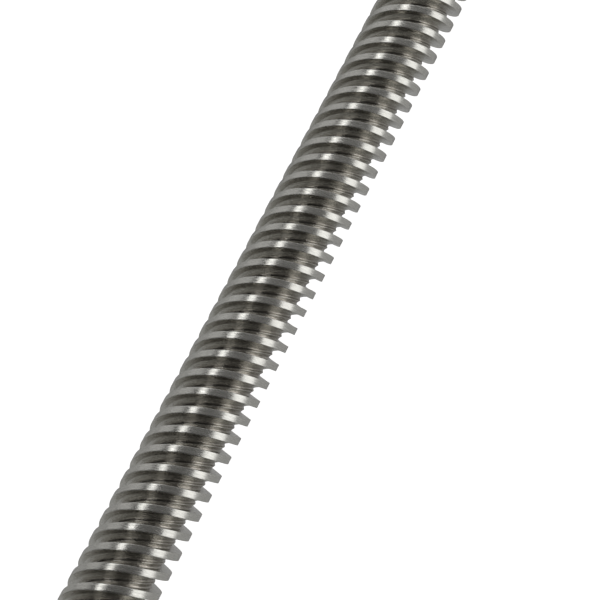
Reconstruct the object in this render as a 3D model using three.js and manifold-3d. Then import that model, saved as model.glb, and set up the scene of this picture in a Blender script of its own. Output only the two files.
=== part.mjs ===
// A lead screw drive: a four-start screw running in two pillow blocks, a spring-loaded brass nut
// that travels along it, and a jaw coupling for a motor shaft at the drive end.
// Millimetres, +Z up. The screw lies along X. The origin is on the mounting plane, under the
// middle of the whole drive. The nut stands at the far end of its travel.
import * as THREE from "three";
import { mergeVertices } from "three/addons/utils/BufferGeometryUtils.js";
import Module from "manifold-3d";

const wasm = await Module();
wasm.setup();

const HALF_TURN = Math.PI;
const FULL_TURN = 2 * HALF_TURN;
const QUARTER_TURN = HALF_TURN / 2;
const { lerp, degToRad } = THREE.MathUtils;

// ---- driving dimensions ----

const AXIS_HEIGHT = 15; // screw axis above the mounting plane

// Right-handed, four starts. The flanks are nearly square to the axis.
const screw = {
  length: 200, majorRadius: 4, minorRadius: 2.9, pitch: 2, starts: 4,
  crestWidth: 0.74, flankAngle: 4, endChamfer: 1,
};
const LEAD = screw.pitch * screw.starts;

// Places along the screw, from its middle.
const DRIVE_BLOCK_X = -79;
const FAR_BLOCK_X = 88;
const NUT_FACE_X = 52; // the flange's mounting face

// Pillow block with a spherical seat for an insert bearing.
const housing = {
  length: 55, width: 13, footThickness: 5, archRadius: 14, footFillet: 2.5, edgeRound: 2,
  slotSpacing: 42, slotLength: 8, slotWidth: 5, seatGap: 0.15, loadingSlotWidth: 7.6,
};

// Insert bearing: the outer ring's outside is a ball of 22 mm, the inner ring has a long collar.
const bearing = {
  seatRadius: 11, width: 7, pitchRadius: 7.5, balls: 7, ballRadius: 1.98, grooveGap: 0.1,
  outerShoulder: 8.9, innerShoulder: 6.1, collarRadius: 6.5, collarEnd: 8, boreRadius: 4.08,
  shieldThickness: 0.4, shieldInset: 0.15, shieldInnerRadius: 6.4, shieldGap: 0.1,
};
const cage = { innerRadius: 6.9, outerRadius: 8.1, back: -2.75, front: 1.2, pocketGap: 0.2 };
const setScrew = {
  radius: 1.4, length: 2.3, x: 5.7, holeRadius: 1.55, socketRadius: 0.85, socketDepth: 1.2,
};

// Spring-loaded nut, measured from the flange's mounting face.
const nut = {
  bossLength: 1.5, barrelRadius: 5.1, flangeRadius: 11, flangeThickness: 3.5,
  holeRadius: 1.75, holeCircleRadius: 8, holes: 4,
  slotStart: 10, slotEnd: 17, slotWidth: 5.4, tongueWidth: 5, tongueStart: 10.8,
  collarStart: 18.5, collarEnd: 22, collarRadius: 7.25, end: 26,
  radialPlay: 0.25, flankPlay: 0.15, takeUp: 0.08,
};
const spring = {
  wireRadius: 0.6, coilRadius: 6.1, turns: 5.5, endClosing: 0.45, nearGap: 0.15, farGap: 0.3,
};

// Jaw coupling with clamping hubs.
const coupling = {
  radius: 10, hubLength: 10, jawLength: 6, jawGap: 0.3, jaws: 3, jawHalfAngle: 17.5, jawInnerRadius: 4.9,
  screwBore: 4.1, motorBore: 2.5, screwEndGap: 1, slitWidth: 1, clampOffset: 6.9, clampX: 4.6,
};
const spider = { radius: 9.5, ringRadius: 4.6, boreRadius: 2.6, lobeHalfAngle: 11, endGap: 0.5 };
const clampScrew = {
  radius: 1.25, headRadius: 2.2, headLength: 2.5, length: 9, headSeat: 3.6, holeGap: 0.15,
  socketRadius: 1.15, socketDepth: 1.4,
};

// How finely round things are faceted.
const sides = { thread: 12, ring: 24, hole: 12, pocket: 8, socket: 6, ball: 7, coil: 11 };

// ---- materials ----

const metal = (color, roughness) => new THREE.MeshStandardMaterial({ color, roughness, metalness: 1 });
const materials = {
  stainlessSteel: metal(0xb4b2ad, 0.3),
  brass: metal(0xc9a24e, 0.35),
  springSteel: metal(0x9b9b99, 0.3),
  zincCasting: metal(0x9fa1a3, 0.55),
  bearingSteel: metal(0xc4c5c6, 0.2),
  aluminium: metal(0xc9cacc, 0.4),
  blackSteel: metal(0x2b2b2c, 0.5),
  polyurethane: new THREE.MeshStandardMaterial({ color: 0xb3261e, roughness: 0.5, metalness: 0 }),
};

// ---- solids: cutting and joining ----

const MERGE_DISTANCE = 1e-4;

function toSolid(geometry) {
  const loose = geometry.index ? geometry.toNonIndexed() : geometry;
  const bare = new THREE.BufferGeometry().setAttribute("position", loose.getAttribute("position"));
  const merged = mergeVertices(bare, MERGE_DISTANCE);
  const mesh = new wasm.Mesh({
    numProp: 3,
    vertProperties: merged.attributes.position.array,
    triVerts: new Uint32Array(merged.index.array),
  });
  return new wasm.Manifold(mesh);
}

function toGeometry(solid) {
  const { vertProperties, triVerts } = solid.getMesh();
  const geometry = new THREE.BufferGeometry();
  geometry.setAttribute("position", new THREE.BufferAttribute(vertProperties, 3));
  geometry.setIndex(new THREE.BufferAttribute(triVerts, 1));
  geometry.computeVertexNormals();
  return geometry;
}

const cut = (blank, ...tools) =>
  toGeometry(tools.reduce((solid, tool) => solid.subtract(toSolid(tool)), toSolid(blank)));

const join = (first, ...others) =>
  toGeometry(others.reduce((solid, other) => solid.add(toSolid(other)), toSolid(first)));

const common = (one, other) => toGeometry(toSolid(one).intersect(toSolid(other)));

// ---- basic shapes, all about the X axis ----

// A turned solid from [x, radius] pairs, listed along the outside with x rising.
function turned(profile, segments = sides.ring) {
  const points = profile.map(([x, radius]) => new THREE.Vector2(radius, x));
  return new THREE.LatheGeometry(points, segments).rotateZ(-QUARTER_TURN);
}

// A turned ring: the profile runs out along the near face, along the outside and back along the bore.
const turnedRing = (profile, segments) => turned([...profile, profile[0]], segments);

const tube = (from, to, innerRadius, outerRadius, segments) =>
  turnedRing([[from, innerRadius], [from, outerRadius], [to, outerRadius], [to, innerRadius]], segments);

const rod = (from, to, radius, segments) =>
  turned([[from, 0], [from, radius], [to, radius], [to, 0]], segments);

// A box from x = from to x = to, with its middle on the axis.
const bar = (from, to, widthY, widthZ) =>
  new THREE.BoxGeometry(to - from, widthY, widthZ).translate((from + to) / 2, 0, 0);

// Points of an arc with its middle at [x, radius], as [x, radius] pairs.
function arc(centreX, centreRadius, arcRadius, fromAngle, toAngle, steps) {
  return Array.from({ length: steps + 1 }, (_, i) => {
    const angle = lerp(fromAngle, toAngle, i / steps);
    return [centreX + arcRadius * Math.sin(angle), centreRadius + arcRadius * Math.cos(angle)];
  });
}

// Points of an arc in a plane, for a flat outline.
function bend(centreX, centreY, radius, fromAngle, toAngle, steps) {
  return Array.from({ length: steps + 1 }, (_, i) => {
    const angle = lerp(fromAngle, toAngle, i / steps);
    return new THREE.Vector2(centreX + radius * Math.cos(angle), centreY + radius * Math.sin(angle));
  });
}

const push = (points, depth) =>
  new THREE.ExtrudeGeometry(new THREE.Shape(points), { depth, bevelEnabled: false });

// A flat outline in Y and Z, pushed along X.
const plate = (points, from, to) =>
  push(points, to - from).rotateX(QUARTER_TURN).rotateZ(QUARTER_TURN).translate(from, 0, 0);

// A wedge in Y and Z, from the axis out.
const wedge = (radius, middleAngle, halfAngle) =>
  [new THREE.Vector2(), ...bend(0, 0, radius, middleAngle - halfAngle, middleAngle + halfAngle, 4)];

// ---- the four-start thread ----

// A thread's outline in a plane square to its axis, as [radius, angle] pairs. A tooth's width along
// the axis becomes an angle through the lead. grow widens the tooth by that much on each flank.
function threadOutline({ majorRadius, minorRadius, grow = 0, crestSteps = 1 }) {
  const slope = Math.tan(degToRad(screw.flankAngle));
  const halfAngle = (radius) => {
    const halfWidth = screw.crestWidth / 2 + (screw.majorRadius - radius) * slope + grow;
    return (halfWidth / LEAD) * FULL_TURN;
  };
  const tooth = [[minorRadius, -halfAngle(minorRadius)]];
  for (let i = 0; i <= crestSteps; i++) {
    tooth.push([majorRadius, halfAngle(majorRadius) * ((2 * i) / crestSteps - 1)]);
  }
  tooth.push([minorRadius, halfAngle(minorRadius)]);
  const turns = Array.from({ length: screw.starts }, (_, start) => (start / screw.starts) * FULL_TURN);
  return turns.flatMap((turn) => tooth.map(([radius, angle]) => [radius, angle + turn]));
}

// A bar with that outline, twisted by one turn per lead, so that its teeth are helical. A tooth's
// middle is on +Y at x = shift.
function threadedBar(outline, from, to, shift = 0) {
  const steps = Math.ceil(((to - from) / LEAD) * sides.thread);
  const count = outline.length;
  const positions = [];
  for (let step = 0; step <= steps; step++) {
    const x = lerp(from, to, step / steps);
    const turn = ((x - shift) / LEAD) * FULL_TURN;
    for (const [radius, angle] of outline) {
      positions.push(x, radius * Math.cos(angle + turn), radius * Math.sin(angle + turn));
    }
  }
  positions.push(from, 0, 0, to, 0, 0);
  const nearMiddle = (steps + 1) * count;
  const farMiddle = nearMiddle + 1;
  const triangles = [];
  for (let i = 0; i < count; i++) {
    const next = (i + 1) % count;
    triangles.push(nearMiddle, next, i, farMiddle, steps * count + i, steps * count + next);
    for (let step = 0; step < steps; step++) {
      const here = step * count;
      const there = here + count;
      triangles.push(here + i, here + next, there + i, here + next, there + next, there + i);
    }
  }
  return new THREE.BufferGeometry()
    .setAttribute("position", new THREE.Float32BufferAttribute(positions, 3))
    .setIndex(triangles);
}

const OVERRUN = 1; // how far a cutting tool passes the face that it cuts

function leadScrew() {
  const end = screw.length / 2;
  const raw = threadedBar(threadOutline(screw), -end - OVERRUN, end + OVERRUN);
  const clear = screw.majorRadius + OVERRUN;
  const bevel = screw.endChamfer + OVERRUN;
  const blank = turned([
    [-end, 0], [-end, clear - bevel], [-end + bevel, clear],
    [end - bevel, clear], [end, clear - bevel], [end, 0],
  ]);
  return common(raw, blank);
}

// The tool that cuts the nut's thread, with running play all round. shift moves it along the axis.
function threadTool(from, to, shift) {
  const outline = threadOutline({
    majorRadius: screw.majorRadius + nut.radialPlay,
    minorRadius: screw.minorRadius + nut.radialPlay,
    grow: nut.flankPlay,
    crestSteps: 2,
  });
  return threadedBar(outline, from - OVERRUN, to + OVERRUN, shift);
}

// ---- the nut ----

const atNut = (x) => NUT_FACE_X + x;
const nutRing = (from, to, radius) => [[atNut(from), radius], [atNut(to), radius]];

function nutFlangeHalf() {
  const front = -nut.bossLength;
  const blank = turned([
    [atNut(front), 0],
    ...nutRing(front, 0, nut.barrelRadius),
    ...nutRing(0, nut.flangeThickness, nut.flangeRadius),
    ...nutRing(nut.flangeThickness, nut.slotEnd, nut.barrelRadius),
    [atNut(nut.slotEnd), 0],
  ]);
  const holes = Array.from({ length: nut.holes }, (_, i) => {
    const angle = ((i + 0.5) / nut.holes) * FULL_TURN;
    return rod(atNut(-OVERRUN), atNut(nut.flangeThickness + OVERRUN), nut.holeRadius, sides.hole)
      .translate(0, nut.holeCircleRadius, 0)
      .rotateX(angle);
  });
  const across = 3 * nut.barrelRadius;
  const slot = bar(atNut(nut.slotStart), atNut(nut.slotEnd + OVERRUN), nut.slotWidth, across);
  return cut(blank, ...holes, slot, threadTool(atNut(front), atNut(nut.slotEnd), 0));
}

function nutSprungHalf() {
  const blank = turned([
    [atNut(nut.tongueStart), 0],
    ...nutRing(nut.tongueStart, nut.collarStart, nut.barrelRadius),
    ...nutRing(nut.collarStart, nut.collarEnd, nut.collarRadius),
    ...nutRing(nut.collarEnd, nut.end, nut.barrelRadius),
    [atNut(nut.end), 0],
  ]);
  const across = 3 * nut.barrelRadius;
  const cheek = (across - nut.tongueWidth) / 2;
  const cheeks = [-1, 1].map((side) =>
    bar(atNut(nut.tongueStart - OVERRUN), atNut(nut.slotEnd + OVERRUN / 2), cheek, across)
      .translate(0, (side * (nut.tongueWidth + cheek)) / 2, 0),
  );
  return cut(blank, ...cheeks, threadTool(atNut(nut.tongueStart), atNut(nut.end), nut.takeUp));
}

// A compression spring's centreline, with its turns closed up towards both ends.
class SpringLine extends THREE.Curve {
  getPoint(t) {
    const from = nut.flangeThickness + spring.wireRadius + spring.nearGap;
    const to = nut.collarStart - spring.wireRadius - spring.farGap;
    const share = t - (spring.endClosing * Math.sin(FULL_TURN * t)) / FULL_TURN;
    const angle = spring.turns * FULL_TURN * t;
    return new THREE.Vector3(
      atNut(lerp(from, to, share)),
      spring.coilRadius * Math.cos(angle),
      spring.coilRadius * Math.sin(angle),
    );
  }
}

function nutSpring() {
  return new THREE.ExtrudeGeometry(new THREE.Shape(bend(0, 0, spring.wireRadius, 0, FULL_TURN, 6)), {
    extrudePath: new SpringLine(),
    steps: Math.round(spring.turns * sides.coil),
  });
}

// ---- the pillow blocks, each about its bearing's middle, collar towards +X ----

function housingOutline() {
  const { length, footThickness, archRadius, footFillet, edgeRound } = housing;
  const foot = length / 2;
  const ground = -AXIS_HEIGHT;
  const footTop = ground + footThickness;
  const filletY = archRadius + footFillet;
  const filletZ = footTop + footFillet;
  const roundY = foot - edgeRound;
  const roundZ = footTop - edgeRound;
  return [
    new THREE.Vector2(-foot, ground),
    new THREE.Vector2(foot, ground),
    ...bend(roundY, roundZ, edgeRound, 0, QUARTER_TURN, 3),
    ...bend(filletY, filletZ, footFillet, -QUARTER_TURN, -HALF_TURN, 3),
    ...bend(0, 0, archRadius, 0, HALF_TURN, sides.hole),
    ...bend(-filletY, filletZ, footFillet, 0, -QUARTER_TURN, 3),
    ...bend(-roundY, roundZ, edgeRound, QUARTER_TURN, HALF_TURN, 3),
  ];
}

function boltSlot(y) {
  const { slotLength, slotWidth, footThickness } = housing;
  const end = slotWidth / 2;
  const straight = slotLength / 2 - end;
  const outline = [
    ...bend(0, straight, end, 0, HALF_TURN, sides.hole / 2),
    ...bend(0, -straight, end, HALF_TURN, FULL_TURN, sides.hole / 2),
  ];
  return push(outline, footThickness + 2 * OVERRUN).translate(0, y, -AXIS_HEIGHT - OVERRUN);
}

function blockHousing() {
  const { width, slotSpacing, seatGap, loadingSlotWidth } = housing;
  const half = width / 2;
  const seat = bearing.seatRadius + seatGap;
  const lip = bearing.width / 2; // the ball-shaped seat is as wide as the bearing
  const lipAngle = Math.asin(lip / seat);
  const mouth = seat * Math.cos(lipAngle);
  const seatTool = turned([
    [-half - OVERRUN, 0], [-half - OVERRUN, mouth],
    ...arc(0, 0, seat, -lipAngle, lipAngle, 4),
    [half + OVERRUN, mouth], [half + OVERRUN, 0],
  ]);
  const loadingSlot = bar(0, half + OVERRUN, 2 * seat, loadingSlotWidth);
  const body = plate(housingOutline(), -half, half);
  return cut(body, seatTool, loadingSlot, boltSlot(slotSpacing / 2), boltSlot(-slotSpacing / 2));
}

function outerRing() {
  const { seatRadius, width, pitchRadius, ballRadius, grooveGap, outerShoulder } = bearing;
  const half = width / 2;
  const edge = Math.asin(half / seatRadius);
  const groove = ballRadius + grooveGap;
  const reach = Math.acos((outerShoulder - pitchRadius) / groove);
  return turnedRing([
    [-half, outerShoulder],
    ...arc(0, 0, seatRadius, -edge, edge, 3),
    [half, outerShoulder],
    ...arc(0, pitchRadius, groove, reach, -reach, 4),
  ]);
}

function setScrewPlaces() {
  return [0, QUARTER_TURN]; // two, a quarter turn apart round the collar
}

const radially = (geometry, x, angle) =>
  geometry.rotateZ(QUARTER_TURN).translate(x, 0, 0).rotateX(angle);

function innerRing() {
  const { width, pitchRadius, ballRadius, grooveGap, innerShoulder } = bearing;
  const { collarRadius, collarEnd, boreRadius } = bearing;
  const half = width / 2;
  const groove = ballRadius + grooveGap;
  const reach = Math.acos((pitchRadius - innerShoulder) / groove);
  const ring = turnedRing([
    [-half, boreRadius], [-half, innerShoulder],
    ...arc(0, pitchRadius, groove, HALF_TURN + reach, HALF_TURN - reach, 4),
    [half, innerShoulder], [half, collarRadius], [collarEnd, collarRadius], [collarEnd, boreRadius],
  ]);
  const holes = setScrewPlaces().map((angle) =>
    radially(rod(0, collarRadius + OVERRUN, setScrew.holeRadius, sides.hole), setScrew.x, angle),
  );
  return cut(ring, ...holes);
}

function bearingCage() {
  const { balls, pitchRadius, ballRadius } = bearing;
  const ring = tube(cage.back, cage.front, cage.innerRadius, cage.outerRadius);
  const pockets = Array.from({ length: balls }, (_, i) =>
    radially(
      rod(0, pitchRadius + 2 * ballRadius, ballRadius + cage.pocketGap, sides.pocket),
      0,
      (i / balls) * FULL_TURN,
    ),
  );
  return cut(ring, ...pockets);
}

function bearingBall(index) {
  return new THREE.SphereGeometry(bearing.ballRadius, sides.ball, sides.ball - 2)
    .translate(0, bearing.pitchRadius, 0)
    .rotateX((index / bearing.balls) * FULL_TURN);
}

// A thin steel shield on the side given by side = -1 or 1.
function shield(side) {
  const { width, shieldInset, shieldThickness, shieldInnerRadius, outerShoulder, shieldGap } = bearing;
  const outside = width / 2 - shieldInset;
  const faces = [side * outside, side * (outside - shieldThickness)].sort((a, b) => a - b);
  return tube(faces[0], faces[1], shieldInnerRadius, outerShoulder - shieldGap);
}

function socketScrewBlank(from, to, radius, socketRadius, socketDepth) {
  const socket = rod(to - socketDepth, to + OVERRUN, socketRadius, sides.socket);
  return cut(rod(from, to, radius, sides.hole), socket);
}

function bearingSetScrew(angle) {
  const from = bearing.boreRadius;
  const { length, radius, socketRadius, socketDepth, x } = setScrew;
  return radially(socketScrewBlank(from, from + length, radius, socketRadius, socketDepth), x, angle);
}

function pillowBlock(name, x, facing) {
  const block = new THREE.Group();
  const add = (part, geometry, material) => block.add(namedMesh(`${name}_${part}`, geometry, material));
  add("housing", blockHousing(), materials.zincCasting);
  add("bearing_outer_ring", outerRing(), materials.bearingSteel);
  add("bearing_inner_ring", innerRing(), materials.bearingSteel);
  add("bearing_cage", bearingCage(), materials.springSteel);
  add("bearing_shield_back", shield(-1), materials.bearingSteel);
  add("bearing_shield_front", shield(1), materials.bearingSteel);
  for (let i = 0; i < bearing.balls; i++) {
    add(`bearing_ball_${i + 1}`, bearingBall(i), materials.bearingSteel);
  }
  setScrewPlaces().forEach((angle, i) => {
    add(`bearing_set_screw_${i + 1}`, bearingSetScrew(angle), materials.blackSteel);
  });
  block.position.x = x;
  block.rotation.z = facing > 0 ? 0 : HALF_TURN;
  return block;
}

// ---- the coupling, from the screw hub's outer face towards +X, turned round when it is placed ----

const COUPLING_LENGTH = 2 * coupling.hubLength + coupling.jawLength;

// A clamping hub from x = 0, with its jaws towards +X. turn sets where its jaws stand.
function couplingHub(boreRadius, turn) {
  const { radius, hubLength, jawLength, jawGap, jaws, jawHalfAngle, jawInnerRadius } = coupling;
  const { slitWidth, clampOffset, clampX } = coupling;
  const jawEnd = hubLength + jawLength - jawGap;
  const blank = tube(0, jawEnd, boreRadius, radius);
  const counterbore = rod(hubLength, jawEnd + OVERRUN, jawInnerRadius);
  const gapHalfAngle = HALF_TURN / jaws - degToRad(jawHalfAngle);
  const gaps = Array.from({ length: jaws }, (_, i) => {
    const middle = turn + ((i + 0.5) / jaws) * FULL_TURN;
    return plate(wedge(2 * radius, middle, gapHalfAngle), hubLength, jawEnd + OVERRUN);
  });
  const clear = radius + OVERRUN;
  const slit = bar(-OVERRUN, hubLength, clear, slitWidth).translate(0, clear / 2, 0);
  const slitAngle = turn + HALF_TURN / jaws;
  const reach = 2 * radius;
  const crosswise = (from, to, holeRadius) =>
    rod(from, to, holeRadius, sides.hole).rotateY(-QUARTER_TURN).translate(clampX, clampOffset, 0);
  const screwHole = crosswise(-reach, reach, clampScrew.radius + clampScrew.holeGap);
  const headRecess = crosswise(clampScrew.headSeat, reach, clampScrew.headRadius + clampScrew.holeGap);
  const clamp = [slit, screwHole, headRecess].map((tool) => tool.rotateX(slitAngle));
  return cut(blank, counterbore, ...gaps, ...clamp);
}

function clampScrewFor(turn) {
  const { radius, headRadius, headLength, length, headSeat, holeGap } = clampScrew;
  const underHead = headSeat + holeGap;
  const shank = rod(underHead - length, underHead + OVERRUN / 2, radius, sides.hole);
  const head = socketScrewBlank(
    underHead, underHead + headLength, headRadius, clampScrew.socketRadius, clampScrew.socketDepth,
  );
  return join(head, shank)
    .rotateY(-QUARTER_TURN)
    .translate(coupling.clampX, coupling.clampOffset, 0)
    .rotateX(turn + HALF_TURN / coupling.jaws);
}

function couplingSpider() {
  const lobes = 2 * coupling.jaws;
  const { radius, ringRadius, boreRadius, lobeHalfAngle, endGap } = spider;
  const half = degToRad(lobeHalfAngle);
  const step = FULL_TURN / lobes;
  const outline = Array.from({ length: lobes }, (_, i) => {
    const middle = (i + 0.5) * step;
    return [
      ...bend(0, 0, radius, middle - half, middle + half, 2),
      ...bend(0, 0, ringRadius, middle + half, middle + step - half, 2),
    ];
  }).flat();
  const from = coupling.hubLength + endGap;
  const to = coupling.hubLength + coupling.jawLength - endGap;
  return cut(plate(outline, from, to), rod(from - OVERRUN, to + OVERRUN, boreRadius, sides.hole));
}

function jawCoupling() {
  const half = new THREE.Group();
  const otherHalf = new THREE.Group();
  const screwTurn = 0;
  const motorTurn = 0;
  half.add(
    namedMesh("coupling_screw_hub", couplingHub(coupling.screwBore, screwTurn), materials.aluminium),
    namedMesh("coupling_screw_hub_clamp_screw", clampScrewFor(screwTurn), materials.blackSteel),
    namedMesh("coupling_spider", couplingSpider(), materials.polyurethane),
  );
  otherHalf.add(
    namedMesh("coupling_motor_hub", couplingHub(coupling.motorBore, motorTurn), materials.aluminium),
    namedMesh("coupling_motor_hub_clamp_screw", clampScrewFor(motorTurn), materials.blackSteel),
  );
  otherHalf.position.x = COUPLING_LENGTH;
  otherHalf.rotation.z = HALF_TURN;
  const whole = new THREE.Group();
  whole.add(half, otherHalf);
  whole.rotation.z = HALF_TURN;
  whole.position.x = coupling.hubLength - coupling.screwEndGap - screw.length / 2;
  return whole;
}

// ---- the whole drive ----

function namedMesh(name, geometry, material) {
  const mesh = new THREE.Mesh(geometry, material);
  mesh.name = name;
  return mesh;
}

const drive = new THREE.Group();
drive.add(
  namedMesh("lead_screw", leadScrew(), materials.stainlessSteel),
  namedMesh("nut_flange_half", nutFlangeHalf(), materials.brass),
  namedMesh("nut_sprung_half", nutSprungHalf(), materials.brass),
  namedMesh("nut_spring", nutSpring(), materials.springSteel),
  pillowBlock("drive_block", DRIVE_BLOCK_X, -1),
  pillowBlock("far_block", FAR_BLOCK_X, 1),
  jawCoupling(),
);

// The drive runs from the coupling's motor end to the screw's far end, and stands about its middle.
const couplingEnd = -screw.length / 2 + coupling.hubLength - coupling.screwEndGap - COUPLING_LENGTH;
drive.position.set(-(couplingEnd + screw.length / 2) / 2, 0, AXIS_HEIGHT);

const part = new THREE.Group();
part.add(drive);

export default part;
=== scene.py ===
"""The looks of the lead screw drive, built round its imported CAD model.

Every piece is made in millimetres about its own place on the screw's axis, and is then put where the
CAD model has it. The rest of the script is in metres, in the row's frame.
"""

import math

import bmesh
import bpy
import numpy as np
from mathutils import Matrix, Vector

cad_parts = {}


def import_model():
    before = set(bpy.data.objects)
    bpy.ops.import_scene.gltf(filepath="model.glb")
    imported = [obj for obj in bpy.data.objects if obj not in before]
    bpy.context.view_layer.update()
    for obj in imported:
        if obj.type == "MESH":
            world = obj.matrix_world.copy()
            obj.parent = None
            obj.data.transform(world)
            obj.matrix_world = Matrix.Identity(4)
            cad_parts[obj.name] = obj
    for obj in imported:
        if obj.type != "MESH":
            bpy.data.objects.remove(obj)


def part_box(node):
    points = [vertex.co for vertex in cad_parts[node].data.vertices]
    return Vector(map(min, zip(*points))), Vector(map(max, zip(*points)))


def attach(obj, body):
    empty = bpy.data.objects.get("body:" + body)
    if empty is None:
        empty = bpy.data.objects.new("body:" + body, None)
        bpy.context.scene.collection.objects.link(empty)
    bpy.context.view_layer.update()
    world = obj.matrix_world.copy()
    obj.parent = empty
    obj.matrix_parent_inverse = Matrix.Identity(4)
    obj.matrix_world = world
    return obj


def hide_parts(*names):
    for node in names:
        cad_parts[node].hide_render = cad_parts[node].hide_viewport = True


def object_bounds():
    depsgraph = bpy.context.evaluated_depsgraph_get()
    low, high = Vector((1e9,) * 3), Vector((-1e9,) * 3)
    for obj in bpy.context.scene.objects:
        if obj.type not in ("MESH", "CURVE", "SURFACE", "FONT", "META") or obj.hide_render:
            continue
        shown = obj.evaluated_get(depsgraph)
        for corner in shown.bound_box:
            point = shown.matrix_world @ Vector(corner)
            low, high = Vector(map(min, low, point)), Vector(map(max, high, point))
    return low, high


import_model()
cad_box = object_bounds()

MM = 0.001
TURN = 2 * math.pi

# ---- dimensions, in millimetres ----

MAJOR, MINOR, PITCH, STARTS = 4.0, 2.9, 2.0, 4
CREST, FLANK_SLOPE = 0.74, math.tan(math.radians(4))
LEAD = PITCH * STARTS

SCREW_LOW, SCREW_HIGH = (Vector(corner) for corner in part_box("lead_screw"))
AXIS = (SCREW_LOW + SCREW_HIGH) / 2
AXIS_HEIGHT = AXIS.z / MM
SCREW_LENGTH = (SCREW_HIGH.x - SCREW_LOW.x) / MM


# ---- meshes ----


def new_object(name, verts, faces):
    mesh = bpy.data.meshes.new(name)
    mesh.from_pydata([tuple(map(float, v)) for v in verts], [], [tuple(map(int, f)) for f in faces])
    mesh.update()
    obj = bpy.data.objects.new(name, mesh)
    bpy.context.collection.objects.link(obj)
    return obj


def remove(*objs):
    for obj in objs:
        mesh = obj.data
        bpy.data.objects.remove(obj)
        bpy.data.meshes.remove(mesh)


def bake(obj):
    """Applies the object's modifiers."""
    shown = obj.evaluated_get(bpy.context.evaluated_depsgraph_get())
    mesh = bpy.data.meshes.new_from_object(shown)
    obj.modifiers.clear()
    old, obj.data = obj.data, mesh
    bpy.data.meshes.remove(old)


def boolean(blank, tools, operation="DIFFERENCE"):
    for tool in tools:
        modifier = blank.modifiers.new("boolean", "BOOLEAN")
        modifier.operation = operation
        modifier.solver = "EXACT"
        modifier.object = tool
    bake(blank)
    remove(*tools)
    return blank


def cut(blank, *tools):
    return boolean(blank, tools)


def bevel(obj, width, segments=2, angle=40):
    """Rounds every edge sharper than the angle."""
    modifier = obj.modifiers.new("bevel", "BEVEL")
    modifier.width = width
    modifier.segments = segments
    modifier.limit_method = "ANGLE"
    modifier.angle_limit = math.radians(angle)
    modifier.harden_normals = False
    bake(obj)
    return obj


def smooth(obj, angle=32):
    """Shades the faces smooth, apart from edges sharper than the angle."""
    shape = bmesh.new()
    shape.from_mesh(obj.data)
    limit = math.radians(angle)
    for face in shape.faces:
        face.smooth = True
    for edge in shape.edges:
        edge.smooth = len(edge.link_faces) == 2 and edge.calc_face_angle(0) < limit
    shape.to_mesh(obj.data)
    shape.free()


def moved(obj, matrix):
    obj.data.transform(matrix)
    return obj


def shifted(obj, x=0.0, y=0.0, z=0.0):
    return moved(obj, Matrix.Translation((x, y, z)))


def about_x(obj, angle):
    return moved(obj, Matrix.Rotation(angle, 4, "X"))


# ---- shapes about the X axis ----


def turned(name, profile, segments=96):
    """A turned solid from (x, radius) pairs. It is a ring if the first pair comes back at the end."""
    ring = profile[0] == profile[-1]
    points = profile[:-1] if ring else profile
    verts, rows = [], []
    for x, radius in points:
        if radius < 1e-9:
            rows.append([len(verts)] * segments)
            verts.append((x, 0, 0))
        else:
            rows.append(list(range(len(verts), len(verts) + segments)))
            for i in range(segments):
                angle = TURN * i / segments
                verts.append((x, radius * math.cos(angle), radius * math.sin(angle)))
    pairs = list(zip(rows, rows[1:]))
    if ring:
        pairs.append((rows[-1], rows[0]))
    faces = []
    for here, there in pairs:
        for i in range(segments):
            j = (i + 1) % segments
            face = list(dict.fromkeys((here[i], here[j], there[j], there[i])))
            if len(face) > 2:
                faces.append(face)
    return outward(new_object(name, verts, faces))


def outward(obj):
    shape = bmesh.new()
    shape.from_mesh(obj.data)
    bmesh.ops.recalc_face_normals(shape, faces=shape.faces)
    if shape.calc_volume(signed=True) < 0:
        bmesh.ops.reverse_faces(shape, faces=shape.faces)
    shape.to_mesh(obj.data)
    shape.free()
    return obj


def eased(profile, sizes, steps=3):
    """A profile with its corners rounded: sizes gives each point's rounding, 0 for none."""
    made = []
    last = len(profile) - 1
    closed = profile[0] == profile[-1]
    for i, point in enumerate(profile):
        size = sizes[i] if i < len(sizes) else 0
        if size <= 0 or (i in (0, last) and not closed):
            made.append(tuple(point))
            continue
        here = Vector(point)
        before = Vector(profile[i - 1 if i > 0 else last - 1])
        after = Vector(profile[i + 1 if i < last else 1])
        start = here + (before - here).normalized() * size
        end = here + (after - here).normalized() * size
        for k in range(steps + 1):
            t = k / steps
            spot = start * (1 - t) ** 2 + here * 2 * t * (1 - t) + end * t**2
            made.append((spot.x, spot.y))
    if closed:
        made[-1] = made[0]
    return made


def ring_of(name, points, size, segments=96):
    """A turned ring through those corners, each rounded by size."""
    closed = [*points, points[0]]
    corners = eased(closed, [size] * len(closed))
    count = 4 if size > 0 else 1
    corners = corners[: len(points) * count]
    return turned(name, [*corners, corners[0]], segments)


def rod(name, start, end, radius, segments=48):
    return turned(name, [(start, 0), (start, radius), (end, radius), (end, 0)], segments)


def eased_rod(name, start, end, radius, edge, segments=64):
    profile = [(start, 0), (start, radius), (end, radius), (end, 0)]
    return turned(name, eased(profile, [0, edge, edge, 0]), segments)


def bar(name, start, end, width_y, width_z):
    y, z = width_y / 2, width_z / 2
    verts = [(x, a, b) for x in (start, end) for a, b in ((-y, -z), (y, -z), (y, z), (-y, z))]
    faces = [(3, 2, 1, 0), (4, 5, 6, 7), (0, 1, 5, 4), (1, 2, 6, 5), (2, 3, 7, 6), (3, 0, 4, 7)]
    return outward(new_object(name, verts, faces))


def arc(centre_x, centre_r, radius, start, end, steps):
    """(x, radius) pairs of an arc, with angle 0 pointing away from the axis."""
    angles = [start + (end - start) * i / steps for i in range(steps + 1)]
    return [(centre_x + radius * math.sin(a), centre_r + radius * math.cos(a)) for a in angles]


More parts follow.
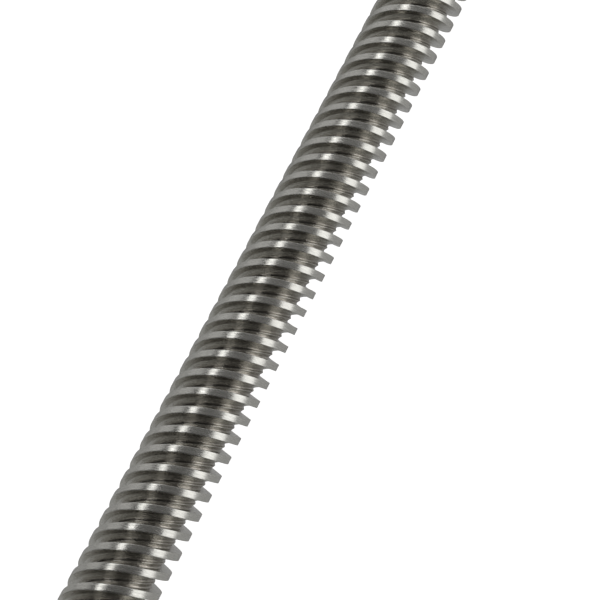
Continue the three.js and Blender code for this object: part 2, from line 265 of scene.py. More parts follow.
def bend(centre_a, centre_b, radius, start, end, steps):
    """Points of an arc in a flat outline."""
    angles = [start + (end - start) * i / steps for i in range(steps + 1)]
    return [(centre_a + radius * math.cos(a), centre_b + radius * math.sin(a)) for a in angles]


def inset(outline, distance):
    """A closed outline's points moved inwards, for small distances. The outline runs anticlockwise."""
    points = np.array(outline, float)
    ahead = np.roll(points, -1, axis=0) - points
    ahead /= np.linalg.norm(ahead, axis=1)[:, None]
    behind = np.roll(ahead, 1, axis=0)
    normal = np.stack([-(ahead + behind)[:, 1], (ahead + behind)[:, 0]], axis=1)
    normal /= np.linalg.norm(normal, axis=1)[:, None]
    lean = np.clip((normal * np.stack([-ahead[:, 1], ahead[:, 0]], axis=1)).sum(axis=1), 0.4, 1)
    return points + normal * (distance / lean)[:, None]


def stacked(name, layers):
    """A closed solid through layers of points, with the same number of points in each."""
    count = len(layers[0])
    verts = [point for layer in layers for point in layer]
    faces = [tuple(reversed(range(count))), tuple(range(len(verts) - count, len(verts)))]
    for here in range(0, len(verts) - count, count):
        there = here + count
        for i in range(count):
            j = (i + 1) % count
            faces.append((here + i, here + j, there + j, there + i))
    return outward(new_object(name, verts, faces))


def plate(name, outline, start, end, edge=0.0, steps=4):
    """An outline in Y and Z, pushed along X, with rounded rims."""
    levels = [(start, 0.0), (end, 0.0)]
    if edge > 0:
        angles = np.linspace(0, math.pi / 2, steps + 1)
        rim = [(edge * (1 - math.sin(a)), edge * (1 - math.cos(a))) for a in angles]
        levels = [(start + d, i) for i, d in rim] + [(end - d, i) for i, d in reversed(rim)]
    return stacked(name, [[(x, y, z) for y, z in inset(outline, depth)] for x, depth in levels])


# ---- the thread ----


def plain_tooth(play, flank_play):
    """One pitch of the thread that cuts the nut, from a crest's middle to the next one's."""
    major, minor = MAJOR + play, MINOR + play
    top, foot = (CREST / 2 + (MAJOR - radius) * FLANK_SLOPE + flank_play for radius in (major, minor))
    corners = [
        (0, major), (top, major), (foot, minor),
        (PITCH - foot, minor), (PITCH - top, major), (PITCH, major),
    ]
    return eased(corners, [0, 0.05, 0.05, 0.05, 0.05, 0])


def rolled_tooth():
    """One pitch of the screw's outline, from a crest's middle to the next one's towards -X.

    Rolling leaves a broad fillet under one flank, a low ridge in the root and a channel by the
    other flank.
    """
    top, next_top = CREST / 2, PITCH - CREST / 2
    corners = [
        (0, MAJOR), (top / 2, MAJOR), (top, MAJOR),
        (top + 0.03, 3.38), (0.56, 3.10), (0.76, 2.84), (0.92, 2.89),  # the fillet
        (1.05, 3.01), (1.17, 2.91),  # the ridge
        (1.42, 2.79), (next_top - 0.03, 2.88),  # the channel
        (next_top, MAJOR), (next_top + top / 2, MAJOR), (PITCH, MAJOR),
    ]
    return eased(corners, [0, 0, 0.045, 0.06, 0.1, 0.08, 0.05, 0.07, 0.05, 0.12, 0.05, 0.045, 0, 0])


def thread(name, start, end, steps_per_turn, profile, shift=0.0, end_chamfer=0.0):
    """A threaded bar with a helical mesh: every lengthwise line of vertices is a helix.

    The profile is one pitch of (x, radius) pairs. The mesh has a UV map with u along the thread and v
    across it, and a point attribute, depth, that is 1 in the root and 0 on the crest.
    """
    columns = [(w / LEAD * TURN + TURN * k / STARTS, r) for k in range(STARTS) for w, r in profile[:-1]]
    count = len(columns)
    inner = np.linspace(start, end, int((end - start) / LEAD * steps_per_turn) + 1)
    if end_chamfer > 0:
        fine = np.linspace(0, end_chamfer, 9)
        inner = inner[(inner > start + end_chamfer) & (inner < end - end_chamfer)]
        inner = np.concatenate([start + fine, inner, end - fine[::-1]])
    angle = np.array([a for a, _ in columns])
    radius = np.array([r for _, r in columns])
    depths = (radius.max() - radius) / (radius.max() - radius.min())
    verts = []
    for x in inner:
        nearest = min(x - start, end - x)
        limit = MAJOR * 2 if nearest >= end_chamfer else MAJOR - (end_chamfer - nearest)
        clipped = np.minimum(radius, limit)
        here = angle + (x - shift) / LEAD * TURN
        verts.append(np.stack([np.full(count, x), clipped * np.cos(here), clipped * np.sin(here)], 1))
    verts = np.concatenate(verts)
    rows = len(inner)
    i = np.arange(count)
    j = (i + 1) % count
    faces, uvs = [], []
    across = np.concatenate([[0], np.cumsum([math.dist(a, b) for a, b in zip(profile, profile[1:])])])
    per = len(profile) - 1
    v_here = across[i % per] + (i // per) * across[-1]
    v_next = across[i % per + 1] + (i // per) * across[-1]
    along = inner * math.hypot(TURN * MAJOR, LEAD) / LEAD
    for row in range(rows - 1):
        here, there = row * count, (row + 1) * count
        faces.append(np.stack([here + i, here + j, there + j, there + i], 1))
        u0, u1 = np.full(count, along[row]), np.full(count, along[row + 1])
        uvs.append(np.stack([u0, v_here, u0, v_next, u1, v_next, u1, v_here], 1))
    faces = np.concatenate(faces)
    uv = np.concatenate(uvs).reshape(-1, 2)
    caps = [tuple(range(count)), tuple(reversed(range((rows - 1) * count, rows * count)))]
    mesh = bpy.data.meshes.new(name)
    mesh.from_pydata(verts.tolist(), [], [*map(tuple, faces.tolist()), *caps])
    layer = mesh.uv_layers.new(name="thread")
    flat = np.zeros((len(mesh.loops), 2))
    flat[: len(uv)] = uv / 10
    layer.data.foreach_set("uv", flat.ravel())
    depth = mesh.attributes.new("depth", "FLOAT", "POINT")
    depth.data.foreach_set("value", np.tile(depths, rows))
    obj = bpy.data.objects.new(name, mesh)
    bpy.context.collection.objects.link(obj)
    shape = bmesh.new()
    shape.from_mesh(mesh)
    if shape.calc_volume(signed=True) < 0:
        bmesh.ops.reverse_faces(shape, faces=shape.faces)
    bmesh.ops.triangulate(shape, faces=[f for f in shape.faces if len(f.verts) > 4])
    shape.to_mesh(mesh)
    shape.free()
    return obj


# ---- materials ----


class Nodes:
    """Short names for making and joining a material's nodes."""

    def __init__(self, tree):
        self.tree = tree
        tree.nodes.clear()

    def add(self, kind, inputs=None, **settings):
        node = self.tree.nodes.new(kind)
        for key, value in settings.items():
            setattr(node, key, value)
        for key, value in (inputs or {}).items():
            if isinstance(value, bpy.types.NodeSocket):
                self.tree.links.new(value, node.inputs[key])
            else:
                node.inputs[key].default_value = value
        return node

    def math(self, operation, *values):
        node = self.add("ShaderNodeMath", operation=operation)
        for i, value in enumerate(values):
            if isinstance(value, bpy.types.NodeSocket):
                self.tree.links.new(value, node.inputs[i])
            else:
                node.inputs[i].default_value = value
        return node.outputs[0]

    def times(self, one, other):
        return self.math("MULTIPLY", one, other)

    def plus(self, one, other):
        return self.math("ADD", one, other)

    def spread(self, value, low, high):
        """value from 0 to 1 becomes low to high."""
        node = self.add("ShaderNodeMapRange", {"Value": value, "To Min": low, "To Max": high})
        return node.outputs["Result"]

    def contrast(self, value, low, high):
        """low to high becomes 0 to 1."""
        node = self.add("ShaderNodeMapRange", {"Value": value, "From Min": low, "From Max": high})
        return node.outputs["Result"]

    def noise(self, vector, scale, detail=2.0, roughness=0.5):
        node = self.add(
            "ShaderNodeTexNoise", {"Vector": vector, "Scale": scale, "Detail": detail, "Roughness": roughness}
        )
        return node.outputs["Fac"]

    def vector(self, x, y, z):
        return self.add("ShaderNodeCombineXYZ", {"X": x, "Y": y, "Z": z}).outputs[0]

    def mix(self, factor, one, other, blend="MIX"):
        node = self.add("ShaderNodeMix", data_type="RGBA", blend_type=blend)
        for index, value in ((0, factor), (6, one), (7, other)):
            if isinstance(value, bpy.types.NodeSocket):
                self.tree.links.new(value, node.inputs[index])
            else:
                node.inputs[index].default_value = value
        return node.outputs[2]

    def bump(self, height, distance, strength=1.0):
        node = self.add("ShaderNodeBump", {"Height": height, "Distance": distance, "Strength": strength})
        return node.outputs[0]

    def surface(self, **inputs):
        shader = self.add("ShaderNodeBsdfPrincipled", {k.replace("_", " "): v for k, v in inputs.items()})
        self.add("ShaderNodeOutputMaterial", {"Surface": shader.outputs[0]})


def material(name):
    made = bpy.data.materials.new(name)
    made.use_nodes = True
    return made, Nodes(made.node_tree)


def rolled_steel():
    """Bright rolled steel: marks run along the thread. The roots are painted dark brown as painted shade,
    broken by bright warm streaks that are painted reflections.
    """
    made, n = material("rolled_stainless_steel")
    uv = n.add("ShaderNodeUVMap", uv_map="thread").outputs[0]
    place = n.add("ShaderNodeSeparateXYZ", {"Vector": uv})
    along, across = place.outputs[0], place.outputs[1]

    def drawn_out(along_scale, across_scale, layer, scale, detail, roughness):
        spot = n.vector(n.times(along, along_scale), n.times(across, across_scale), layer)
        return n.noise(spot, scale, detail, roughness)

    streaks = drawn_out(1.2, 15.0, 0.0, 4.0, 4.0, 0.65)
    fine = drawn_out(4.0, 70.0, 3.0, 4.0, 3.0, 0.6)
    clouds = drawn_out(14.0, 24.0, 7.0, 3.0, 5.0, 0.7)
    depth = n.add("ShaderNodeAttribute", attribute_name="depth").outputs["Fac"]
    streaks, clouds = n.contrast(streaks, 0.34, 0.66), n.contrast(clouds, 0.32, 0.68)
    # Painted shade: where depth passes 0.66 the root is painted dark brown, stronger where the clouds are
    # high.
    painted_root_shade_mask = n.times(n.contrast(depth, 0.66, 1.0), n.spread(clouds, 0.6, 1.0))
    bright = n.mix(clouds, (0.50, 0.495, 0.465, 1), (0.72, 0.71, 0.665, 1))
    # The root's painted shade colour, broken by bright warm streaks that are painted reflections.
    root_shade_and_reflection_colour = n.mix(n.times(streaks, clouds), (0.13, 0.108, 0.08, 1), (0.95, 0.90, 0.82, 1))
    colour = n.mix(painted_root_shade_mask, bright, root_shade_and_reflection_colour)
    rough = n.plus(n.spread(streaks, 0.17, 0.29), n.times(clouds, 0.05))
    rough = n.times(rough, n.spread(depth, 1.0, 0.5))
    marks = n.plus(n.times(streaks, 0.35), n.times(fine, 0.5))
    marks = n.plus(marks, n.times(clouds, 0.35))
    marks = n.times(marks, n.spread(depth, 0.3, 1.0))
    n.surface(Base_Color=colour, Metallic=1.0, Roughness=rough, Normal=n.bump(marks, 0.00003, 0.8))
    return made


def turned_metal(name, one, other, rough, marks=0.5, patches=0.08):
    """Turned metal: fine marks run round the axis, on the barrel and on the faces."""
    made, n = material(name)
    spot = n.add("ShaderNodeTexCoord").outputs["Object"]
    place = n.add("ShaderNodeSeparateXYZ", {"Vector": spot})
    y, z = n.math("SUBTRACT", place.outputs[1], AXIS.y), n.math("SUBTRACT", place.outputs[2], AXIS.z)
    radius = n.math("SQRT", n.plus(n.times(y, y), n.times(z, z)))
    rings = n.noise(n.vector(radius, place.outputs[0], 0.0), 9000.0, 2.0, 0.6)
    bands = n.noise(n.vector(radius, place.outputs[0], 5.0), 1500.0, 2.0, 0.5)
    clouds = n.noise(spot, 260.0, 4.0, 0.6)
    colour = n.mix(n.times(n.plus(clouds, bands), 0.5), (*one, 1), (*other, 1))
    roughness = n.plus(n.spread(bands, rough - 0.05, rough + 0.05), n.times(clouds, patches))
    n.surface(Base_Color=colour, Metallic=1.0, Roughness=roughness, Normal=n.bump(rings, 0.00001, marks))
    return made


def cast_metal():
    """Die-cast zinc: a fine blasted skin with a few shallow swirls and duller patches."""
    made, n = material("die_cast_zinc")
    spot = n.add("ShaderNodeTexCoord").outputs["Object"]
    grain = n.noise(spot, 3200.0, 4.0, 0.7)
    swirls = n.noise(spot, 220.0, 5.0, 0.6)
    patches = n.noise(spot, 90.0, 3.0, 0.5)
    blotches = n.times(n.plus(patches, grain), 0.5)
    colour = n.mix(blotches, (0.60, 0.61, 0.62, 1), (0.82, 0.83, 0.84, 1))
    height = n.plus(n.times(grain, 0.6), n.times(swirls, 0.8))
    rough = n.spread(patches, 0.38, 0.55)
    n.surface(Base_Color=colour, Metallic=1.0, Roughness=rough, Normal=n.bump(height, 0.00006, 0.7))
    return made


def black_oxide():
    made, n = material("black_oxide_steel")
    spot = n.add("ShaderNodeTexCoord").outputs["Object"]
    clouds = n.noise(spot, 900.0, 4.0, 0.6)
    colour = n.mix(clouds, (0.012, 0.012, 0.013, 1), (0.05, 0.048, 0.046, 1))
    rough = n.spread(clouds, 0.3, 0.5)
    n.surface(Base_Color=colour, Metallic=0.7, Roughness=rough, Normal=n.bump(clouds, 0.00002, 0.4))
    return made


def moulded_polyurethane():
    made, n = material("moulded_polyurethane")
    spot = n.add("ShaderNodeTexCoord").outputs["Object"]
    clouds = n.noise(spot, 350.0, 3.0, 0.5)
    skin = n.noise(spot, 2500.0, 3.0, 0.6)
    colour = n.mix(clouds, (0.50, 0.018, 0.014, 1), (0.62, 0.035, 0.022, 1))
    n.surface(
        Base_Color=colour, Roughness=n.spread(clouds, 0.32, 0.46), Normal=n.bump(skin, 0.00003, 0.4),
        Subsurface_Weight=0.15, Subsurface_Scale=0.001,
    )
    return made


steel = rolled_steel()
brass = turned_metal("turned_brass", (0.60, 0.40, 0.13), (0.78, 0.56, 0.22), 0.24)
spring_steel = turned_metal("drawn_spring_steel", (0.40, 0.40, 0.39), (0.60, 0.59, 0.58), 0.26, 0.3)
ground_steel = turned_metal("ground_bearing_steel", (0.55, 0.56, 0.57), (0.68, 0.69, 0.70), 0.16, 0.35)
polished_steel = turned_metal("polished_ball_steel", (0.62, 0.63, 0.64), (0.70, 0.71, 0.72), 0.09, 0.1, 0.03)
aluminium = turned_metal("turned_aluminium", (0.66, 0.67, 0.68), (0.80, 0.81, 0.82), 0.28, 0.7)
zinc = cast_metal()
black = black_oxide()
polyurethane = moulded_polyurethane()


# ---- putting a piece in place ----


def place(obj, node, body, slot, finish, x, flipped=False, angle=32):
    """Puts a piece made in millimetres about the axis at x, as what stands for a CAD node."""
    turn = Matrix.Rotation(math.pi, 4, "Z") if flipped else Matrix.Identity(4)
    moved(obj, Matrix.Translation((x, AXIS.y, AXIS.z)) @ Matrix.Scale(MM, 4) @ turn)
    smooth(obj, angle)
    obj.name = obj.data.name = f"{node}_detailed"
    obj.data.materials.clear()
    obj.data.materials.append(finish)
    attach(obj, body)
    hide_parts(node)
    return obj


# ---- the screw ----


def lead_screw():
    end = SCREW_LENGTH / 2
    obj = thread("lead_screw", -end, end, 48, rolled_tooth(), end_chamfer=1.0)
    place(obj, "lead_screw", "screw", "stainless_steel", steel, AXIS.x, angle=50)


# ---- the nut, measured from the flange's mounting face ----

BARREL = 5.1  # outside radius of both halves
BOSS, FLANGE, FLANGE_RADIUS = 1.5, 3.5, 11
SLOT_START, SLOT_END, SLOT_WIDTH = 10.0, 17.0, 5.4
TONGUE_START, TONGUE_WIDTH = 10.8, 5.0
COLLAR_START, COLLAR_STOP, COLLAR_RADIUS, TAIL = 18.5, 22, 7.25, 26.0
HOLES, HOLE_RADIUS, HOLE_CIRCLE = 4, 1.75, 8
RADIAL_PLAY, FLANK_PLAY, TAKE_UP = 0.25, 0.15, 0.08
WIRE, COIL, COILS, END_CLOSING = 0.6, 6.1, 5.5, 0.45


def thread_tool(start, end, shift):
    return thread("tool", start - 1, end + 1, 24, plain_tooth(RADIAL_PLAY, FLANK_PLAY), shift)


def mouth(face, out):
    """Cuts the cone that leads the screw in. out is 1 if the face looks towards +X, else -1."""
    wide, narrow = face + out, face - 0.55 * out
    return turned("mouth", [(wide, 0), (wide, 5.55), (narrow, 4.0), (narrow, 0)], 96)


def flange_hole(angle):
    wide, rim = 2.9, 0.15
    profile = [
        (-1, 0), (-1, wide), (rim, HOLE_RADIUS),
        (FLANGE - rim, HOLE_RADIUS), (FLANGE + 1, wide), (FLANGE + 1, 0),
    ]
    return about_x(shifted(turned("hole", profile, 48), y=HOLE_CIRCLE), angle)


def flange_half(to_screw):
    profile = [
        (-BOSS, 0), (-BOSS, BARREL), (0, BARREL), (0, FLANGE_RADIUS),
        (FLANGE, FLANGE_RADIUS), (FLANGE, BARREL), (SLOT_END, BARREL), (SLOT_END, 0),
    ]
    body = turned("flange_half", eased(profile, [0, 0.35, 0.05, 0.4, 0.4, 0.25, 0.3, 0]), 128)
    holes = [flange_hole((i + 0.5) * TURN / HOLES) for i in range(HOLES)]
    slot = bar("slot", SLOT_START, SLOT_END + 1, SLOT_WIDTH, 3 * BARREL)
    return cut(body, *holes, slot, mouth(-BOSS, -1), thread_tool(-BOSS, SLOT_END, to_screw))


def sprung_half(to_screw):
    profile = [
        (TONGUE_START, 0), (TONGUE_START, BARREL), (COLLAR_START, BARREL), (COLLAR_START, COLLAR_RADIUS),
        (COLLAR_STOP, COLLAR_RADIUS), (COLLAR_STOP, BARREL), (TAIL, BARREL), (TAIL, 0),
    ]
    body = turned("sprung_half", eased(profile, [0, 0.3, 0.15, 0.35, 0.35, 0.15, 0.35, 0]), 128)
    width = 5.0
    cheeks = [
        shifted(bar("cheek", TONGUE_START - 1, 17.5, width, 3 * BARREL), y=side * (TONGUE_WIDTH + width) / 2)
        for side in (-1, 1)
    ]
    return cut(body, *cheeks, mouth(TAIL, 1), thread_tool(TONGUE_START, TAIL, to_screw + TAKE_UP))


def take_up_spring():
    """A coil whose end turns lie closer together and are ground flat."""
    start, end = FLANGE + WIRE + 0.15, COLLAR_START - WIRE - 0.3
    steps, sides = 420, 16
    layers = []
    for s in range(steps + 1):
        t = s / steps
        x = start + (end - start) * (t - END_CLOSING * math.sin(TURN * t) / TURN)
        turn = COILS * TURN * t
        rise = (end - start) * (1 - END_CLOSING * math.cos(TURN * t)) / (COILS * TURN * COIL)
        out = Vector((0, math.cos(turn), math.sin(turn)))
        ahead = Vector((rise, -math.sin(turn), math.cos(turn))).normalized()
        side = ahead.cross(out)
        layer = []
        for k in range(sides):
            angle = TURN * k / sides
            spot = Vector((x, 0, 0)) + out * (COIL + WIRE * math.cos(angle)) + side * WIRE * math.sin(angle)
            spot.x = min(max(spot.x, start - 0.8 * WIRE), end + 0.8 * WIRE)
            layer.append(spot)
        layers.append(layer)
    return stacked("spring", layers)


def nut():
    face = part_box("nut_flange_half")[0][0] + BOSS * MM
    to_screw = (AXIS.x - face) / MM  # the screw's own zero, from the nut's
    place(flange_half(to_screw), "nut_flange_half", "nut", "brass", brass, face)
    place(sprung_half(to_screw), "nut_sprung_half", "nut_take_up_half", "brass", brass, face)
    place(take_up_spring(), "nut_spring", "nut", "spring_steel", spring_steel, face, angle=45)


# ---- the pillow blocks, each about its bearing's middle ----

HALF_WIDTH, OUTSIDE, BORE = 3.5, 11.0, 4.08  # of the bearing, with its outside part of a ball
BALLS, BALL, BALL_CIRCLE, GROOVE = 7, 1.98, 7.5, 2.08
OUTER_SHOULDER, INNER_SHOULDER = 8.9, 6.1
SLEEVE, SLEEVE_END = 6.5, 8.0  # the inner ring's long collar
SET_SCREW_X, SET_SCREW_ANGLES = 5.7, (0, TURN / 4)


def housing_outline():
    foot, ground, top, arch, fillet, edge = 27.5, -AXIS_HEIGHT, 5 - AXIS_HEIGHT, 14.0, 2.5, 2.0
    quarter = TURN / 4
    return [
        (-foot + 0.3, ground), (foot - 0.3, ground), (foot, ground + 0.3),
        *bend(foot - edge, top - edge, edge, 0, quarter, 8),
        *bend(arch + fillet, top + fillet, fillet, -quarter, -2 * quarter, 8),
        *bend(0, 0, arch, 0, 2 * quarter, 48),
        *bend(-arch - fillet, top + fillet, fillet, 0, -quarter, 8),
        *bend(edge - foot, top - edge, edge, quarter, 2 * quarter, 8),
        (-foot, ground + 0.3),
    ]


def bolt_slot(y):
    """A round-ended slot along X, with its upper rim cut back at 45 degrees."""
    end, straight, rim = 2.5, 1.5, 1.3
    outline = [*bend(0, straight, end, 0, TURN / 2, 16), *bend(0, -straight, end, TURN / 2, TURN, 16)]
    low, high = -AXIS_HEIGHT - 1, 6 - AXIS_HEIGHT
    levels = [(low, 0.0), (high - rim, 0.0), (high, -rim)]
    slot = stacked("slot", [[(a, b, z) for a, b in inset(outline, depth)] for z, depth in levels])
    return shifted(slot, y=y)


def housing(node, x, flipped):
    half, seat, loading_slot, bolt = 6.5, 11.15, 7.6, 21
    lip = math.asin(HALF_WIDTH / seat)
    mouth_radius = seat * math.cos(lip)
    body = plate("housing", housing_outline(), -half, half, 0.8, 5)
    profile = [
        (-half - 1, 0), (-half - 1, mouth_radius + 1.5), (-half + 0.5, mouth_radius),
        *arc(0, 0, seat, -lip, lip, 12),
        (half - 0.5, mouth_radius), (half + 1, mouth_radius + 1.5), (half + 1, 0),
    ]
    notch = bar("notch", 0, half + 1, 2 * seat, loading_slot)
    cut(body, turned("seat", profile, 128), notch, bolt_slot(bolt), bolt_slot(-bolt))
    place(body, node, "supports", "zinc_casting", zinc, x, flipped, 30)


def hex_socket_screw(name, start, end, radius, across, depth, edge):
    """A screw along X with a hexagon socket in its end face at x = end."""
    body = eased_rod(name, start, end, radius, edge)
    socket = turned(
        "socket", [(end - depth - 0.4, 0), (end - depth, across), (end + 1, across), (end + 1, 0)], 6
    )
    return cut(body, socket)


def outwards(obj, x, angle):
    """A piece made along X from the axis turns to point away from the axis at x."""
    moved(obj, Matrix.Rotation(TURN / 4, 4, "Z"))
    return about_x(shifted(obj, x=x), angle)


def outer_ring():
    edge = math.asin(HALF_WIDTH / OUTSIDE)
    reach = math.acos((OUTER_SHOULDER - BALL_CIRCLE) / GROOVE)
    profile = [
        (-HALF_WIDTH, OUTER_SHOULDER + 0.15), (-HALF_WIDTH, 10.2),
        *arc(0, 0, OUTSIDE, -edge * 0.97, edge * 0.97, 14),
        (HALF_WIDTH, 10.2), (HALF_WIDTH, OUTER_SHOULDER + 0.15), (HALF_WIDTH - 0.15, OUTER_SHOULDER),
        *arc(0, BALL_CIRCLE, GROOVE, reach, -reach, 14), (0.15 - HALF_WIDTH, OUTER_SHOULDER),
    ]
    return turned("outer_ring", [*profile, profile[0]], 128)


def set_screw_hole(angle):
    profile = [
        (0, 0), (0, 1.55), (SLEEVE - 0.25, 1.55), (SLEEVE + 0.5, 2.2), (SLEEVE + 0.5, 0),
    ]
    return outwards(turned("hole", profile, 40), SET_SCREW_X, angle)


def inner_ring():
    reach = math.acos((BALL_CIRCLE - INNER_SHOULDER) / GROOVE)
    profile = [
        (0.25 - HALF_WIDTH, BORE), (-HALF_WIDTH, BORE + 0.25),
        (-HALF_WIDTH, INNER_SHOULDER - 0.15), (0.15 - HALF_WIDTH, INNER_SHOULDER),
        *arc(0, BALL_CIRCLE, GROOVE, TURN / 2 + reach, TURN / 2 - reach, 14),
        (HALF_WIDTH, INNER_SHOULDER), (HALF_WIDTH + 0.05, SLEEVE - 0.2), (HALF_WIDTH + 0.2, SLEEVE),
        (SLEEVE_END - 0.35, SLEEVE), (SLEEVE_END - 0.1, SLEEVE - 0.1), (SLEEVE_END, SLEEVE - 0.35),
        (SLEEVE_END, BORE + 0.3), (SLEEVE_END - 0.3, BORE),
    ]
    ring = turned("inner_ring", [*profile, profile[0]], 128)
    return cut(ring, *[set_screw_hole(angle) for angle in SET_SCREW_ANGLES])


def set_screw(angle):
    return outwards(hex_socket_screw("set_screw", BORE, BORE + 2.3, 1.4, 0.85, 1.2, 0.12), SET_SCREW_X, angle)


def cage():
    ring = ring_of("cage", [(-2.75, 6.9), (-2.75, 8.1), (1.2, 8.1), (1.2, 6.9)], 0.12, 128)
    pockets = [outwards(rod("pocket", 4, 11, BALL + 0.2, 40), 0, i * TURN / BALLS) for i in range(BALLS)]
    return cut(ring, *pockets)


def ball(i):
    angles = [math.pi * k / 28 for k in range(29)]
    profile = [(-BALL * math.cos(a), BALL * math.sin(a)) for a in angles]
    profile[0], profile[-1] = (-BALL, 0), (BALL, 0)
    return outwards(shifted(turned("ball", profile, 48), x=BALL_CIRCLE), 0, i * TURN / BALLS)


def shield(side):
    near, mid, step, far = (side * x for x in (3.35, 3.18, 3.2, 2.95))
    profile = [
        (near, 6.55), (near, 7.0), (mid, 7.25), (mid, 8.1), (near, 8.35), (near, 8.8),
        (far, 8.8), (far, 6.4), (step, 6.4),
    ]
    return turned("shield", [*profile, profile[0]], 128)


def bearing(name, x, flipped, set_body):
    def put(obj, part, body, slot, finish, angle=32):
        place(obj, f"{name}_bearing_{part}", body, slot, finish, x, flipped, angle)

    put(outer_ring(), "outer_ring", "supports", "bearing_steel", ground_steel)
    put(inner_ring(), "inner_ring", "screw", "bearing_steel", ground_steel)
    for i, angle in enumerate(SET_SCREW_ANGLES):
        put(set_screw(angle), f"set_screw_{i + 1}", "screw", "black_steel", black)
    put(cage(), "cage", set_body, "spring_steel", spring_steel)
    for i in range(BALLS):
        put(ball(i), f"ball_{i + 1}", set_body, "bearing_steel", polished_steel)
    for side, word in ((-1, "back"), (1, "front")):
        put(shield(side), f"shield_{word}", "supports", "bearing_steel", ground_steel, 25)


def pillow_block(name, set_body, flipped):
    low, high = (Vector(corner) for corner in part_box(f"{name}_housing"))
    x = (low.x + high.x) / 2
    housing(f"{name}_housing", x, flipped)
    bearing(name, x, flipped, set_body)


# ---- the coupling, from a hub's outer face towards the other hub ----

HUB, JAW, GAP, HUB_RADIUS = 10.0, 6.0, 0.3, 10.0
JAWS, JAW_HALF_ANGLE, JAW_INSIDE = 3, math.radians(17.5), 4.9
CLAMP_X, CLAMP_Y, CLAMP_SEAT = 4.6, 6.9, 3.6


def coupling_hub(node, bore, x, flipped):
    jaw_end = HUB + JAW - GAP
    profile = [(0, bore), (0, HUB_RADIUS), (jaw_end, HUB_RADIUS), (jaw_end, bore)]
    body = ring_of("hub", profile, 0.45, 128)
    step = TURN / JAWS
    outline = []
    for i in range(JAWS):
        gap_start, gap_end = i * step + JAW_HALF_ANGLE, (i + 1) * step - JAW_HALF_ANGLE
        outline += bend(0, 0, 2 * HUB_RADIUS, gap_start, gap_end, 6)
        outline += bend(0, 0, JAW_INSIDE, gap_end, gap_end + 2 * JAW_HALF_ANGLE, 12)
    cut(body, plate("gaps", outline, HUB, jaw_end + 1))
    bevel(body, 0.25, 3, 50)
    slit = shifted(bar("slit", -1, HUB - 0.02, 11, 1.0), y=5.5)
    sideways = Matrix.Translation((CLAMP_X, CLAMP_Y, 0)) @ Matrix.Rotation(-TURN / 4, 4, "Y")
    hole = moved(rod("hole", -20, 20, 1.4, 40), sideways)
    recess = moved(rod("recess", CLAMP_SEAT, 20, 2.35, 56), sideways)
    cut(body, *[about_x(tool, TURN / 6) for tool in (slit, hole, recess)])
    place(body, node, "screw", "aluminium", aluminium, x, flipped)

    seat = CLAMP_SEAT + 0.15
    head = hex_socket_screw("head", seat, seat + 2.5, 2.2, 1.15, 1.4, 0.3)
    shank = eased_rod("shank", seat - 9, seat + 0.5, 1.25, 0.2, 48)
    boolean(head, [shank], "UNION")
    about_x(moved(head, sideways), TURN / 6)
    place(head, f"{node}_clamp_screw", "screw", "black_steel", black, x, flipped)


def spider(x, flipped):
    lobe = math.radians(11)
    step = TURN / (2 * JAWS)
    outline = []
    for i in range(2 * JAWS):
        middle = (i + 0.5) * step
        outline += bend(0, 0, 9.5, middle - lobe, middle + lobe, 10)
        outline += bend(0, 0, 4.6, middle + lobe, middle + step - lobe, 8)
    body = plate("spider", outline, HUB + 0.5, HUB + JAW - 0.5, 0.4, 4)
    cut(body, rod("bore", HUB - 1, HUB + JAW + 1, 2.6, 64))
    place(body, "coupling_spider", "screw", "polyurethane", polyurethane, x, flipped)


def coupling():
    motor_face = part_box("coupling_motor_hub")[0][0]
    screw_face = motor_face + (2 * HUB + JAW) * MM
    coupling_hub("coupling_screw_hub", 4.1, screw_face, True)
    coupling_hub("coupling_motor_hub", 2.5, motor_face, False)
    spider(screw_face, True)


lead_screw()
nut()
pillow_block("drive_block", "drive_ball_set", True)
pillow_block("far_block", "far_ball_set", False)
coupling()


# ---- the stage: a white table, soft lights and a camera over the middle of the screw ----


def floor():
    made, n = material("white_table")
    seen = n.add("ShaderNodeLightPath").outputs["Is Camera Ray"]
    matt = n.add("ShaderNodeBsdfDiffuse", {"Color": (0.60, 0.60, 0.60, 1)})
    glow = n.add("ShaderNodeEmission", {"Color": (1, 1, 1, 1), "Strength": n.spread(seen, 0.2, 0.95)})
    both = n.add("ShaderNodeAddShader")
    n.tree.links.new(matt.outputs[0], both.inputs[0])
    n.tree.links.new(glow.outputs[0], both.inputs[1])
    n.add("ShaderNodeOutputMaterial", {"Surface": both.outputs[0]})
    reach, low = 6.0, cad_box[0][2] - 0.0002
    corners = [(-reach, -reach, low), (reach, -reach, low), (reach, reach, low), (-reach, reach, low)]
    table = new_object("table", corners, [(0, 1, 2, 3)])
    table.data.materials.append(made)


def world():
    sky = bpy.data.worlds.new("studio")
    sky.use_nodes = True
    bpy.context.scene.world = sky
    n = Nodes(sky.node_tree)
    seen = n.add("ShaderNodeLightPath").outputs["Is Camera Ray"]
    room = n.add("ShaderNodeBackground", {"Color": (0.021, 0.02, 0.019, 1), "Strength": 1.0})
    white = n.add("ShaderNodeBackground", {"Color": (1, 1, 1, 1), "Strength": 1.0})
    both = n.add("ShaderNodeMixShader")
    for index, socket in enumerate((seen, room.outputs[0], white.outputs[0])):
        n.tree.links.new(socket, both.inputs[index])
    n.add("ShaderNodeOutputWorld", {"Surface": both.outputs[0]})


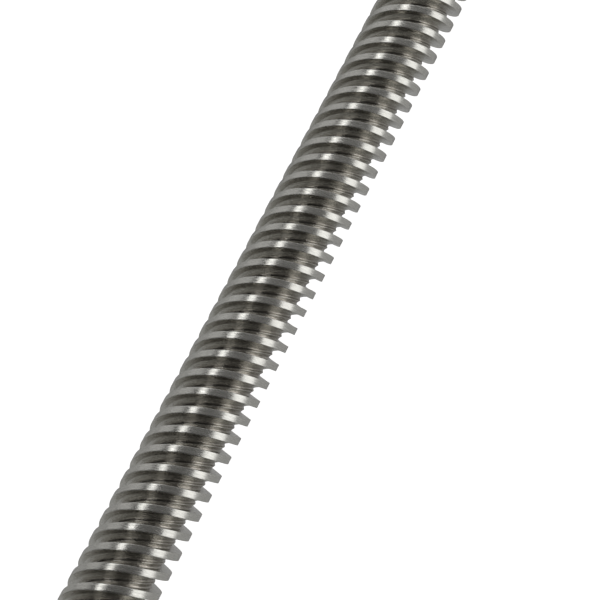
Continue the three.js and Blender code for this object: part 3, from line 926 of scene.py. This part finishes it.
def lamp(name, towards, distance, width, height, radiance, target):
    """A soft box seen from the target in the direction towards, with that brightness.

    Its width lies along the screw and its height round the screw.
    """
    light = bpy.data.lights.new(name, "AREA")
    light.shape = "RECTANGLE"
    light.size, light.size_y = width, height
    light.energy = radiance * width * height * math.pi * 4
    obj = bpy.data.objects.new(name, light)
    bpy.context.collection.objects.link(obj)
    away = Vector(towards).normalized()
    round_screw = away.cross(Vector((1, 0, 0))).normalized()
    along = round_screw.cross(away)
    turn = Matrix((along, round_screw, away)).transposed().to_4x4()
    obj.matrix_world = Matrix.Translation(target + away * distance) @ turn


def around(angle, lean):
    """A direction at that angle round the screw, from +Y over the top to -Y, leaning towards +X."""
    a, b = math.radians(angle), math.radians(lean)
    return Vector((math.sin(b), math.cos(b) * math.cos(a), math.cos(b) * math.sin(a)))


VIEW = AXIS + Vector((-14.78 * MM, 0, 0))  # the middle of the stretch that the camera sees


def lights():
    lamp("top_box", around(67, 20), 0.6, 0.6, 0.15, 0.52, VIEW)
    lamp("right_box", around(164, 18), 0.6, 0.6, 0.38, 0.36, VIEW)
    lamp("high_card", around(112, 30), 0.9, 0.9, 1.0, 0.034, VIEW)
    lamp("left_card", around(22, 24), 0.9, 0.9, 0.7, 0.12, VIEW)
    lamp("far_box", around(80, 66), 0.8, 0.5, 0.8, 0.14, VIEW)
    lamp("drive_box", around(38, -64), 0.8, 0.5, 0.6, 0.14, VIEW)


def camera():
    """About 19 cm from the screw, over its drive end, looking steeply down along it."""
    azimuth, elevation, distance, aside = math.radians(-64.4), math.radians(68.2), 0.1865, 0.00293
    level = math.cos(elevation)
    ahead = Vector((-math.sin(azimuth) * level, math.cos(azimuth) * level, -math.sin(elevation)))
    right = Vector((math.cos(azimuth), math.sin(azimuth), 0))
    up = right.cross(ahead)
    sideways = (right * up.x - up * right.x).normalized()
    lens = bpy.data.cameras.new("camera")
    lens.sensor_fit = "HORIZONTAL"
    lens.sensor_width = 36.0
    lens.lens = 18.0 / math.tan(math.radians(17.27 / 2))
    lens.clip_start = 0.005
    obj = bpy.data.objects.new("camera", lens)
    bpy.context.collection.objects.link(obj)
    turn = Matrix((right, up, -ahead)).transposed().to_4x4()
    obj.matrix_world = Matrix.Translation(VIEW + sideways * aside - ahead * distance) @ turn
    bpy.context.scene.camera = obj


floor()
world()
lights()
camera()
bpy.context.scene.view_settings.view_transform = "Standard"
